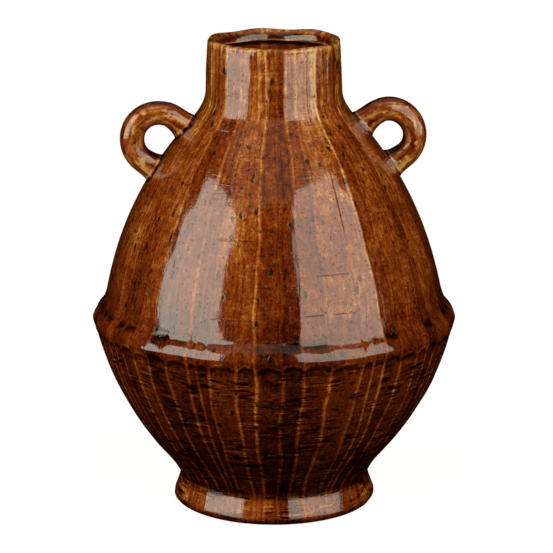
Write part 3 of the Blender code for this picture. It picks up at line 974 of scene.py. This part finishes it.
# %% Thickness at the lip, inside and at the handles
def thickness_at_ends(thickness, tree, at, noise):
    """The thickness with the lip, the inside and the handles' joints worked in: painted shade inside the
    mouth and under the lip's step, and dark round the handles' roots from gathered glaze and painted
    shade.
    """
    # Painted shade inside the mouth: the inner faces are darker, most in a band right under the lip's
    # step and somewhat in the middle of the lip's inner slope, and less so down the neck. The lip's lower
    # edge stays golden.
    within = at.off_rib.step(NO_RIB - 0.6, NO_RIB - 0.4)
    lip_line = at.level.hump(LIP_SEAM + 0.0007, 0.0010) * 0.45
    lip_shade = at.level.hump(LIP_SEAM - 0.0012, 0.0016) * 0.6
    lip_shade = lip_shade + at.level.hump(RIM - 0.0042, 0.0028) * 0.26
    under_lip = 1 - at.level.step(LIP_SEAM - 0.004, LIP_SEAM - 0.002)
    thickness = thickness + within * (0.12 + lip_shade - lip_line - 0.12 * under_lip)
    on_lip = at.level.step(LIP_SEAM, LIP_SEAM + 0.002)
    thickness = thickness + on_lip * ((noise.mottle - 0.5) * 0.5 + (noise.patches - 0.5) * 0.6)
    # Darker round the handles' roots: glaze gathered in the joint, with painted shade in the crease.
    return thickness + (1 - number(tree, "off_handle").step(0.6, 2.8)) * 0.50


# %% Specks, pinholes and the wiped foot
def specked(colour, place, noise):
    """The colour with iron specks and pinholes over it, and the two marks that dent the glaze."""
    torn = place + (noise.broken - 0.5) * 0.0032
    iron = spots(torn, (7.0, 7.0, 14), 0.42, 0.24)
    small_iron = spots(torn, (4.4, 4.4, 8), 0.33, 0.22)
    pins = spots(place, (2.6, 2.6, 3.0), 0.62, 0.23)
    colour = colour.mixed(SPECK, iron * 0.9)
    colour = colour.mixed(SPECK, small_iron * 0.8)
    return colour.mixed(SPECK, pins * 0.9), iron, pins


def wiped(place, at, noise):
    """1 on the resting band and in the hollow of the foot, where the clay is bare."""
    level_circle = place.node("ShaderNodeVectorMath", {"operation": "MULTIPLY"}, {0: place, 1: (1, 1, 0)})
    radius = place.node("ShaderNodeVectorMath", {"operation": "LENGTH"}, {0: level_circle}, 1)
    edge = (noise.streaks - 0.5) * 0.004
    band = 1 - (at.level + edge).step(0.0006, 0.0014)
    inner = 1 - (radius + edge).step(REST_RADIUS - REST_WIDTH, REST_RADIUS - REST_WIDTH + 0.001)
    return band.math("MAXIMUM", band, inner)


# %% The glaze on the turned pieces
def wheel_glaze(name, bare_foot=False):
    """Glaze for the turned pieces, which all share one pattern so that it runs on over the seams."""
    material, tree, shader, place = start_material(name)
    at, noise = PotPlace(tree, place), Noises(place)
    comb_share, comb_lines = combed(at, noise)
    rib_gold, wide_gold = gold_on_ribs(at, noise)
    ledge_bright, ledge_pool_and_shade, ledge_share = ledges(at, noise)
    arch_pool_and_shade, arch_edge, pool = flute_marks(at, noise)

    thickness = plain_thickness(at, noise, comb_share, comb_lines)
    valley = at.off_flute.step(0.25, 1.0) * (1 - 0.8 * at.on_foot)
    thickness = thickness + at.below * (0.01 - 0.25 * valley) - at.on_foot * 0.04
    # Painted shade: a darker band along each side of every rib.
    thickness = thickness + at.off_rib.hump(1.7, 0.9) * 0.12
    # Painted dark reflection: the lowest few millimetres of the foot are darkened.
    thickness = thickness + (1 - at.level.step(0.002, 0.0085)) * 0.30
    thickness = thickness - rib_gold * (0.13 + 0.07 * at.on_neck - 0.02 * at.below)
    thickness = thickness - wide_gold * (0.17 + 0.10 * at.on_neck - 0.03 * at.below)
    # Ledges: golden on the edge, and darker on the lower side, where glaze gathers and painted shade is
    # laid.
    thickness = thickness + (ledge_pool_and_shade * 0.22 - ledge_bright * 0.08) * ledge_share
    # Under the arches and in the hollows over the coil: gathered glaze with painted shade and painted
    # dark reflection. The arch edge is thin golden glaze.
    thickness = thickness + arch_pool_and_shade * 0.26 - arch_edge * 0.22 + pool * 0.30
    thickness = thickness_at_ends(thickness, tree, at, noise)

    colour = thickness.node("ShaderNodeValToRGB", {"stops": GLAZE_STOPS}, {0: thickness})
    colour, iron, pins = specked(colour, place, noise)
    height = noise.combing * (0.15 + 0.6 * comb_share) + noise.strong_combing * 0.35
    height = height + noise.grain * 0.12 + noise.streaks * 0.25
    height = height - pins * 0.8 - iron * 0.5 + (ledge_bright * 0.5 - ledge_pool_and_shade) * ledge_share
    height = height + noise.mottle * 0.45 + noise.broken * 0.20
    height = height + rib_gold * 0.35 - pool * 0.5 - comb_lines * 0.5
    rough = GLOSS + (noise.blotches - 0.5) * 0.05
    if bare_foot:
        bare = wiped(place, at, noise)
        colour = colour.mixed(BARE_CLAY, bare)
        rough = rough + bare * 0.7
    surface(tree, shader, colour, height, 0.75, 0.00024)
    tree.links.new(rough.socket, shader.inputs["Roughness"])
    glassy(shader)
    return material


# %% [markdown]
# ## The glaze on the handles
# The roll has no ribs. Its glaze is mottled gold along the outside and dark where it runs together at
# the shoulder, with painted shade in that crease and a thin painted highlight just over the joint. The
# inner side of the loop gets painted shade, and the roll's outer edge a painted dark reflection.

# %% Handle glaze
def handle_glaze(name):
    """Mottled glaze, dark in the joint with the shoulder from gathered glaze and painted shade, with a
    painted highlight over the joint, painted shade inside the loop and a painted dark reflection on its
    outer edge.
    """
    material, tree, shader, place = start_material(name)
    over = number(tree, "over_shoulder")
    roll = place.node("ShaderNodeCombineXYZ", {}, {n: number(tree, "roll_" + axis)
                                                   for n, axis in enumerate("xyz")})
    mottle = stretched_noise(place, (5, 5, 5), 3.0)
    roll = roll + (mottle - 0.5) * 0.005
    runs = stretched_noise(roll, (13, 3.6, 3.6), 3.0)
    thin_runs = stretched_noise(roll, (8, 1.6, 1.6), 2.0, 4.0)
    fine = stretched_noise(place, (0.9, 0.9, 0.9), 2.0)
    drops = spots(place + (mottle - 0.5) * 0.002, (6, 6, 6), 0.30, 0.17)
    pins = spots(place, (3.0, 3.0, 3.0), 0.45, 0.18)
    # Painted shade in the crease of the joint, over the glaze that gathers there.
    joint_glaze_and_shade = 1 - over.step(0.3, 2.0)
    # Painted shade on the inner side of the loop, and a painted dark reflection on the roll's outer edge.
    inside = number(tree, "roll_y").step(0.0046, 0.0074)
    painted_edge_reflection = 1 - number(tree, "roll_y").step(-0.0074, -0.0048)
    # Painted highlight: a thin lighter line just over the joint.
    painted_joint_highlight = over.hump(2.3, 0.8)
    thickness = 0.28 + (runs - 0.5) * 2.00 + (thin_runs - 0.5) * 0.45 + (mottle - 0.5) * 0.45
    thickness = thickness + (fine - 0.5) * 0.3 + joint_glaze_and_shade * 0.7 - painted_joint_highlight * 0.30
    thickness = thickness + inside * 0.45 + painted_edge_reflection * 0.34
    colour = thickness.node("ShaderNodeValToRGB", {"stops": GLAZE_STOPS}, {0: thickness})
    colour = colour.mixed(SPECK, drops * 0.8)
    colour = colour.mixed(SPECK, pins * 0.6)
    height = mottle * 0.8 + runs * 0.8 + fine * 0.12 - pins * 0.6 - drops * 0.4
    surface(tree, shader, colour, height, 0.6, 0.00025)
    shader.inputs["Roughness"].default_value = GLOSS
    glassy(shader)
    return material


# %% The bare clay of the floor
def bare_clay(name):
    """Fired stoneware with iron freckles, dry underneath."""
    material, tree, shader, place = start_material(name)
    sand = stretched_noise(place, (0.8, 0.8, 0.8), 3.0)
    tone = stretched_noise(place, (18, 18, 18), 2.0)
    freckles = spots(place, (2.2, 2.2, 2.2), 0.3, 0.2)
    colour = tone.node("ShaderNodeValToRGB", {"stops": ((0.3, (0.22, 0.115, 0.055)),
                                                        (0.7, (0.36, 0.21, 0.11)))}, {0: tone})
    colour = colour.mixed((0.10, 0.055, 0.03, 1.0), freckles)
    height = sand - freckles * 0.3
    surface(tree, shader, colour, height, 0.5, 0.0002)
    shader.inputs["Roughness"].default_value = 0.8
    return material


# %% Finish every piece
pieces = (
    (foot, "foot_ring", "foot_glaze", wheel_glaze("foot_glaze_finish", bare_foot=True)),
    (slab, "floor_disc", "bare_stoneware", bare_clay("bare_clay_finish")),
    (bowl, "lower_bowl", "bowl_glaze", wheel_glaze("bowl_glaze_finish")),
    (coil, "belly_coil", "coil_glaze", wheel_glaze("coil_glaze_finish")),
    (shoulder, "shoulder_dome", "shoulder_glaze", wheel_glaze("shoulder_glaze_finish")),
    (neck, "neck_collar", "neck_glaze", wheel_glaze("neck_glaze_finish")),
    (lip, "lip_coil", "lip_glaze", wheel_glaze("lip_glaze_finish")),
    (handle_left, "handle_left", "handle_glaze", handle_glaze("left_handle_finish")),
    (handle_right, "handle_right", "handle_glaze", handle_glaze("right_handle_finish")),
)
for piece, node, slot, material in pieces:
    piece.data.materials.append(material)
    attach(piece, "root")
    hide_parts(node)
print("finished pieces:", len(pieces))

# %% [markdown]
# ## The studio
# A pale floor, two tall softboxes, a broad light overhead, and a dim one behind that the glaze doesn't
# mirror. A glossy pot is a mirror, so what makes it look glossy is the shape of the lights in it: two
# tall rectangles, and darkness round them.

# %% Floor and background
PALE = (0.965, 0.965, 0.96, 1.0)
FLOOR_GREY = (0.22, 0.22, 0.22, 1.0)
FLOOR_GLOW = 0.92
FLOOR_REACH = 8.0


def pale_floor():
    """Large plain floor that the camera sees, and the glaze doesn't."""
    ground = bmesh.new()
    bmesh.ops.create_grid(ground, x_segments=1, y_segments=1, size=FLOOR_REACH)
    floor = object_from(ground, "studio_floor")
    material, _, shader, _ = start_material("pale_floor")
    shader.inputs["Base Color"].default_value = FLOOR_GREY
    shader.inputs["Roughness"].default_value = 1.0
    shader.inputs["Specular IOR Level"].default_value = 0.0
    shader.inputs["Emission Color"].default_value = (1.0, 1.0, 1.0, 1.0)
    shader.inputs["Emission Strength"].default_value = FLOOR_GLOW
    floor.data.materials.append(material)
    floor.visible_glossy = False
    floor.visible_diffuse = False
    return floor


pale_floor()
world = bpy.data.worlds.new("studio")
bpy.context.scene.world = world
world.use_nodes = True
world.node_tree.nodes["Background"].inputs[0].default_value = PALE
world.cycles_visibility.glossy = False
world.cycles_visibility.diffuse = False
bpy.context.scene.view_settings.view_transform = "Standard"

# %% Lights
WARM_WHITE = (1.0, 0.95, 0.80)


def softbox(name, azimuth, distance, width, foot, top, radiance, mirrored=True):
    """Upright rectangular light that faces the pot from a direction round it, 0 being the front."""
    light = bpy.data.lights.new(name, "AREA")
    light.shape = "RECTANGLE"
    light.size = width
    light.size_y = top - foot
    light.energy = radiance * math.pi * width * (top - foot)
    lamp = bpy.data.objects.new(name, light)
    turn = math.radians(azimuth)
    lamp.location = (math.sin(turn) * distance, -math.cos(turn) * distance, (top + foot) / 2)
    lamp.rotation_euler = (math.radians(90), 0, turn)
    light.color = WARM_WHITE
    lamp.visible_glossy = mirrored
    bpy.context.scene.collection.objects.link(lamp)
    return lamp


softbox("left_softbox", azimuth=-64, distance=1.5, width=1.30, foot=0.02, top=1.62, radiance=3.7)
softbox("right_softbox", azimuth=42, distance=1.5, width=1.75, foot=0.02, top=1.95, radiance=2.6)
softbox("back_fill", azimuth=180, distance=2.5, width=2.4, foot=0.02, top=2.0, radiance=1.3,
        mirrored=False)

# %% The light overhead
OVERHEAD_SIZE = 3.0
OVERHEAD_RADIANCE = 0.36
OVERHEAD_COLOUR = (1.0, 0.88, 0.62)
OVERHEAD_PLACE = (0, -0.3, 2.2)
overhead = bpy.data.lights.new("overhead_light", "AREA")
overhead.shape = "RECTANGLE"
overhead.size = OVERHEAD_SIZE
overhead.size_y = OVERHEAD_SIZE
overhead.color = OVERHEAD_COLOUR
overhead.energy = OVERHEAD_RADIANCE * math.pi * OVERHEAD_SIZE * OVERHEAD_SIZE
overhead_lamp = bpy.data.objects.new("overhead_light", overhead)
overhead_lamp.location = OVERHEAD_PLACE
bpy.context.scene.collection.objects.link(overhead_lamp)

# %% [markdown]
# ## The camera
# A long lens from a little above, so that the mouth shows as a flat ellipse. It stands slightly to
# the left, which brings the left handle a little nearer than the right one.

# %% Camera
CAMERA_TURN = math.radians(5.5)
CAMERA_REACH = 1.7817
CAMERA_HEIGHT = 0.5902
AIM = Vector((0, 0, 0.1465))
LENS_LENGTH = 187.5                 # millimetres
SENSOR_WIDTH = 36.0
SIDE_SHIFT = 0.0045

lens = bpy.data.cameras.new("view")
lens.lens = LENS_LENGTH
lens.sensor_width = SENSOR_WIDTH
lens.shift_x = SIDE_SHIFT
camera = bpy.data.objects.new("view", lens)
camera.location = (-math.sin(CAMERA_TURN) * CAMERA_REACH, -math.cos(CAMERA_TURN) * CAMERA_REACH,
                   CAMERA_HEIGHT)
camera.rotation_euler = (AIM - camera.location).to_track_quat("-Z", "Y").to_euler()
bpy.context.scene.collection.objects.link(camera)
bpy.context.scene.camera = camera
